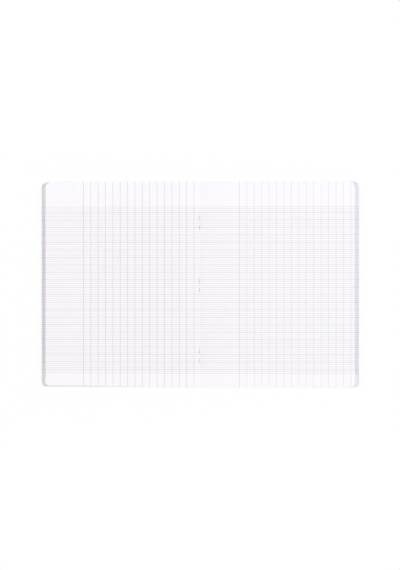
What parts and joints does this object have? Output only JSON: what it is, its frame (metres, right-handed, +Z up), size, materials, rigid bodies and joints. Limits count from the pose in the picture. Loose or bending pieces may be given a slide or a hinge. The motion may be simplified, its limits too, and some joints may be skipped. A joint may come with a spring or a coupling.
{
  "type": "stapled exercise book",
  "caption": "Stapled exercise book with ruled leaves in a plain card cover, open at its middle spread; leaves turn and the cover closes about the fold.",
  "frame": {"origin": "on the table under the fold, halfway up the page", "axes": "+X across the spread to the right-hand page, +Y to the head of the page, +Z up"},
  "size_m": [0.34, 0.22, 0.0037],
  "materials": {
    "ruled_paper": "smooth white writing paper, ruled in lilac grey",
    "cover_card": "plain coloured cover card, matt",
    "staple_wire": "bright drawn steel wire"
  },
  "bodies": {
    "back_cover": {"back_cover": "cover_card"},
    "spine": {"staples": "staple_wire"},
    "front_cover": {"front_cover": "cover_card"},
    "left_leaf_01": {"sheet_01_left_leaf": "ruled_paper"},
    "right_leaf_01": {"sheet_01_right_leaf": "ruled_paper"},
    "left_leaf_02": {"sheet_02_left_leaf": "ruled_paper"},
    "right_leaf_02": {"sheet_02_right_leaf": "ruled_paper"},
    "left_leaf_03": {"sheet_03_left_leaf": "ruled_paper"},
    "right_leaf_03": {"sheet_03_right_leaf": "ruled_paper"},
    "left_leaf_04": {"sheet_04_left_leaf": "ruled_paper"},
    "right_leaf_04": {"sheet_04_right_leaf": "ruled_paper"},
    "left_leaf_05": {"sheet_05_left_leaf": "ruled_paper"},
    "right_leaf_05": {"sheet_05_right_leaf": "ruled_paper"},
    "left_leaf_06": {"sheet_06_left_leaf": "ruled_paper"},
    "right_leaf_06": {"sheet_06_right_leaf": "ruled_paper"},
    "left_leaf_07": {"sheet_07_left_leaf": "ruled_paper"},
    "right_leaf_07": {"sheet_07_right_leaf": "ruled_paper"},
    "left_leaf_08": {"sheet_08_left_leaf": "ruled_paper"},
    "right_leaf_08": {"sheet_08_right_leaf": "ruled_paper"},
    "left_leaf_09": {"sheet_09_left_leaf": "ruled_paper"},
    "right_leaf_09": {"sheet_09_right_leaf": "ruled_paper"},
    "left_leaf_10": {"sheet_10_left_leaf": "ruled_paper"},
    "right_leaf_10": {"sheet_10_right_leaf": "ruled_paper"},
    "left_leaf_11": {"sheet_11_left_leaf": "ruled_paper"},
    "right_leaf_11": {"sheet_11_right_leaf": "ruled_paper"},
    "left_leaf_12": {"sheet_12_left_leaf": "ruled_paper"},
    "right_leaf_12": {"sheet_12_right_leaf": "ruled_paper"},
    "left_leaf_13": {"sheet_13_left_leaf": "ruled_paper"},
    "right_leaf_13": {"sheet_13_right_leaf": "ruled_paper"},
    "left_leaf_14": {"sheet_14_left_leaf": "ruled_paper"},
    "right_leaf_14": {"sheet_14_right_leaf": "ruled_paper"},
    "left_leaf_15": {"sheet_15_left_leaf": "ruled_paper"},
    "right_leaf_15": {"sheet_15_right_leaf": "ruled_paper"},
    "left_leaf_16": {"sheet_16_left_leaf": "ruled_paper"},
    "right_leaf_16": {"sheet_16_right_leaf": "ruled_paper"},
    "left_leaf_17": {"sheet_17_left_leaf": "ruled_paper"},
    "right_leaf_17": {"sheet_17_right_leaf": "ruled_paper"},
    "left_leaf_18": {"sheet_18_left_leaf": "ruled_paper"},
    "right_leaf_18": {"sheet_18_right_leaf": "ruled_paper"},
    "left_leaf_19": {"sheet_19_left_leaf": "ruled_paper"},
    "right_leaf_19": {"sheet_19_right_leaf": "ruled_paper"},
    "left_leaf_20": {"sheet_20_left_leaf": "ruled_paper"},
    "right_leaf_20": {"sheet_20_right_leaf": "ruled_paper"},
    "left_leaf_21": {"sheet_21_left_leaf": "ruled_paper"},
    "right_leaf_21": {"sheet_21_right_leaf": "ruled_paper"},
    "left_leaf_22": {"sheet_22_left_leaf": "ruled_paper"},
    "right_leaf_22": {"sheet_22_right_leaf": "ruled_paper"},
    "left_leaf_23": {"sheet_23_left_leaf": "ruled_paper"},
    "right_leaf_23": {"sheet_23_right_leaf": "ruled_paper"},
    "left_leaf_24": {"sheet_24_left_leaf": "ruled_paper"},
    "right_leaf_24": {"sheet_24_right_leaf": "ruled_paper"}
  },
  "joints": [
    {"name": "close_book", "type": "hinge", "parent": "back_cover", "child": "spine", "pos_m": [0, 0, 0.004], "axis": [0, 1, 0], "range_deg": [0, 90]},
    {"name": "close_front_cover", "type": "hinge", "parent": "spine", "child": "front_cover", "pos_m": [0, 0, 0.004], "axis": [0, 1, 0], "range_deg": [0, 90]},
    {"name": "turn_leaf_01_left", "type": "hinge", "parent": "left_leaf_02", "child": "left_leaf_01", "pos_m": [0, 0, 0.004], "axis": [0, -1, 0], "range_deg": [-179.99, 0]},
    {"name": "turn_leaf_01_right", "type": "hinge", "parent": "right_leaf_02", "child": "right_leaf_01", "pos_m": [0, 0, 0.004], "axis": [0, 1, 0], "range_deg": [-179.99, 0]},
    {"name": "turn_leaf_02_left", "type": "hinge", "parent": "left_leaf_03", "child": "left_leaf_02", "pos_m": [0, 0, 0.004], "axis": [0, -1, 0], "range_deg": [-179.99, 0]},
    {"name": "turn_leaf_02_right", "type": "hinge", "parent": "right_leaf_03", "child": "right_leaf_02", "pos_m": [0, 0, 0.004], "axis": [0, 1, 0], "range_deg": [-179.99, 0]},
    {"name": "turn_leaf_03_left", "type": "hinge", "parent": "left_leaf_04", "child": "left_leaf_03", "pos_m": [0, 0, 0.004], "axis": [0, -1, 0], "range_deg": [-179.99, 0]},
    {"name": "turn_leaf_03_right", "type": "hinge", "parent": "right_leaf_04", "child": "right_leaf_03", "pos_m": [0, 0, 0.004], "axis": [0, 1, 0], "range_deg": [-179.99, 0]},
    {"name": "turn_leaf_04_left", "type": "hinge", "parent": "left_leaf_05", "child": "left_leaf_04", "pos_m": [0, 0, 0.004], "axis": [0, -1, 0], "range_deg": [-179.99, 0]},
    {"name": "turn_leaf_04_right", "type": "hinge", "parent": "right_leaf_05", "child": "right_leaf_04", "pos_m": [0, 0, 0.004], "axis": [0, 1, 0], "range_deg": [-179.99, 0]},
    {"name": "turn_leaf_05_left", "type": "hinge", "parent": "left_leaf_06", "child": "left_leaf_05", "pos_m": [0, 0, 0.004], "axis": [0, -1, 0], "range_deg": [-179.99, 0]},
    {"name": "turn_leaf_05_right", "type": "hinge", "parent": "right_leaf_06", "child": "right_leaf_05", "pos_m": [0, 0, 0.004], "axis": [0, 1, 0], "range_deg": [-179.99, 0]},
    {"name": "turn_leaf_06_left", "type": "hinge", "parent": "left_leaf_07", "child": "left_leaf_06", "pos_m": [0, 0, 0.004], "axis": [0, -1, 0], "range_deg": [-179.99, 0]},
    {"name": "turn_leaf_06_right", "type": "hinge", "parent": "right_leaf_07", "child": "right_leaf_06", "pos_m": [0, 0, 0.004], "axis": [0, 1, 0], "range_deg": [-179.99, 0]},
    {"name": "turn_leaf_07_left", "type": "hinge", "parent": "left_leaf_08", "child": "left_leaf_07", "pos_m": [0, 0, 0.004], "axis": [0, -1, 0], "range_deg": [-179.99, 0]},
    {"name": "turn_leaf_07_right", "type": "hinge", "parent": "right_leaf_08", "child": "right_leaf_07", "pos_m": [0, 0, 0.004], "axis": [0, 1, 0], "range_deg": [-179.99, 0]},
    {"name": "turn_leaf_08_left", "type": "hinge", "parent": "left_leaf_09", "child": "left_leaf_08", "pos_m": [0, 0, 0.004], "axis": [0, -1, 0], "range_deg": [-179.99, 0]},
    {"name": "turn_leaf_08_right", "type": "hinge", "parent": "right_leaf_09", "child": "right_leaf_08", "pos_m": [0, 0, 0.004], "axis": [0, 1, 0], "range_deg": [-179.99, 0]},
    {"name": "turn_leaf_09_left", "type": "hinge", "parent": "left_leaf_10", "child": "left_leaf_09", "pos_m": [0, 0, 0.004], "axis": [0, -1, 0], "range_deg": [-179.99, 0]},
    {"name": "turn_leaf_09_right", "type": "hinge", "parent": "right_leaf_10", "child": "right_leaf_09", "pos_m": [0, 0, 0.004], "axis": [0, 1, 0], "range_deg": [-179.99, 0]},
    {"name": "turn_leaf_10_left", "type": "hinge", "parent": "left_leaf_11", "child": "left_leaf_10", "pos_m": [0, 0, 0.004], "axis": [0, -1, 0], "range_deg": [-179.99, 0]},
    {"name": "turn_leaf_10_right", "type": "hinge", "parent": "right_leaf_11", "child": "right_leaf_10", "pos_m": [0, 0, 0.004], "axis": [0, 1, 0], "range_deg": [-179.99, 0]},
    {"name": "turn_leaf_11_left", "type": "hinge", "parent": "left_leaf_12", "child": "left_leaf_11", "pos_m": [0, 0, 0.004], "axis": [0, -1, 0], "range_deg": [-179.99, 0]},
    {"name": "turn_leaf_11_right", "type": "hinge", "parent": "right_leaf_12", "child": "right_leaf_11", "pos_m": [0, 0, 0.004], "axis": [0, 1, 0], "range_deg": [-179.99, 0]},
    {"name": "turn_leaf_12_left", "type": "hinge", "parent": "left_leaf_13", "child": "left_leaf_12", "pos_m": [0, 0, 0.004], "axis": [0, -1, 0], "range_deg": [-179.99, 0]},
    {"name": "turn_leaf_12_right", "type": "hinge", "parent": "right_leaf_13", "child": "right_leaf_12", "pos_m": [0, 0, 0.004], "axis": [0, 1, 0], "range_deg": [-179.99, 0]},
    {"name": "turn_leaf_13_left", "type": "hinge", "parent": "left_leaf_14", "child": "left_leaf_13", "pos_m": [0, 0, 0.004], "axis": [0, -1, 0], "range_deg": [-179.99, 0]},
    {"name": "turn_leaf_13_right", "type": "hinge", "parent": "right_leaf_14", "child": "right_leaf_13", "pos_m": [0, 0, 0.004], "axis": [0, 1, 0], "range_deg": [-179.99, 0]},
    {"name": "turn_leaf_14_left", "type": "hinge", "parent": "left_leaf_15", "child": "left_leaf_14", "pos_m": [0, 0, 0.004], "axis": [0, -1, 0], "range_deg": [-179.99, 0]},
    {"name": "turn_leaf_14_right", "type": "hinge", "parent": "right_leaf_15", "child": "right_leaf_14", "pos_m": [0, 0, 0.004], "axis": [0, 1, 0], "range_deg": [-179.99, 0]},
    {"name": "turn_leaf_15_left", "type": "hinge", "parent": "left_leaf_16", "child": "left_leaf_15", "pos_m": [0, 0, 0.004], "axis": [0, -1, 0], "range_deg": [-179.99, 0]},
    {"name": "turn_leaf_15_right", "type": "hinge", "parent": "right_leaf_16", "child": "right_leaf_15", "pos_m": [0, 0, 0.004], "axis": [0, 1, 0], "range_deg": [-179.99, 0]},
    {"name": "turn_leaf_16_left", "type": "hinge", "parent": "left_leaf_17", "child": "left_leaf_16", "pos_m": [0, 0, 0.004], "axis": [0, -1, 0], "range_deg": [-179.99, 0]},
    {"name": "turn_leaf_16_right", "type": "hinge", "parent": "right_leaf_17", "child": "right_leaf_16", "pos_m": [0, 0, 0.004], "axis": [0, 1, 0], "range_deg": [-179.99, 0]},
    {"name": "turn_leaf_17_left", "type": "hinge", "parent": "left_leaf_18", "child": "left_leaf_17", "pos_m": [0, 0, 0.004], "axis": [0, -1, 0], "range_deg": [-179.99, 0]},
    {"name": "turn_leaf_17_right", "type": "hinge", "parent": "right_leaf_18", "child": "right_leaf_17", "pos_m": [0, 0, 0.004], "axis": [0, 1, 0], "range_deg": [-179.99, 0]},
    {"name": "turn_leaf_18_left", "type": "hinge", "parent": "left_leaf_19", "child": "left_leaf_18", "pos_m": [0, 0, 0.004], "axis": [0, -1, 0], "range_deg": [-179.99, 0]},
    {"name": "turn_leaf_18_right", "type": "hinge", "parent": "right_leaf_19", "child": "right_leaf_18", "pos_m": [0, 0, 0.004], "axis": [0, 1, 0], "range_deg": [-179.99, 0]},
    {"name": "turn_leaf_19_left", "type": "hinge", "parent": "left_leaf_20", "child": "left_leaf_19", "pos_m": [0, 0, 0.004], "axis": [0, -1, 0], "range_deg": [-179.99, 0]},
    {"name": "turn_leaf_19_right", "type": "hinge", "parent": "right_leaf_20", "child": "right_leaf_19", "pos_m": [0, 0, 0.004], "axis": [0, 1, 0], "range_deg": [-179.99, 0]},
    {"name": "turn_leaf_20_left", "type": "hinge", "parent": "left_leaf_21", "child": "left_leaf_20", "pos_m": [0, 0, 0.004], "axis": [0, -1, 0], "range_deg": [-179.99, 0]},
    {"name": "turn_leaf_20_right", "type": "hinge", "parent": "right_leaf_21", "child": "right_leaf_20", "pos_m": [0, 0, 0.004], "axis": [0, 1, 0], "range_deg": [-179.99, 0]},
    {"name": "turn_leaf_21_left", "type": "hinge", "parent": "left_leaf_22", "child": "left_leaf_21", "pos_m": [0, 0, 0.004], "axis": [0, -1, 0], "range_deg": [-179.99, 0]},
    {"name": "turn_leaf_21_right", "type": "hinge", "parent": "right_leaf_22", "child": "right_leaf_21", "pos_m": [0, 0, 0.004], "axis": [0, 1, 0], "range_deg": [-179.99, 0]},
    {"name": "turn_leaf_22_left", "type": "hinge", "parent": "left_leaf_23", "child": "left_leaf_22", "pos_m": [0, 0, 0.004], "axis": [0, -1, 0], "range_deg": [-179.99, 0]},
    {"name": "turn_leaf_22_right", "type": "hinge", "parent": "right_leaf_23", "child": "right_leaf_22", "pos_m": [0, 0, 0.004], "axis": [0, 1, 0], "range_deg": [-179.99, 0]},
    {"name": "turn_leaf_23_left", "type": "hinge", "parent": "left_leaf_24", "child": "left_leaf_23", "pos_m": [0, 0, 0.004], "axis": [0, -1, 0], "range_deg": [-179.99, 0]},
    {"name": "turn_leaf_23_right", "type": "hinge", "parent": "right_leaf_24", "child": "right_leaf_23", "pos_m": [0, 0, 0.004], "axis": [0, 1, 0], "range_deg": [-179.99, 0]},
    {"name": "turn_leaf_24_left", "type": "hinge", "parent": "front_cover", "child": "left_leaf_24", "pos_m": [0, 0, 0.004], "axis": [0, -1, 0], "range_deg": [-179.99, 0]},
    {"name": "turn_leaf_24_right", "type": "hinge", "parent": "back_cover", "child": "right_leaf_24", "pos_m": [0, 0, 0.004], "axis": [0, 1, 0], "range_deg": [-179.99, 0]}
  ],
  "couplings": [
    {"joint": "close_front_cover", "follows": "close_book", "ratio": 1}
  ]
}
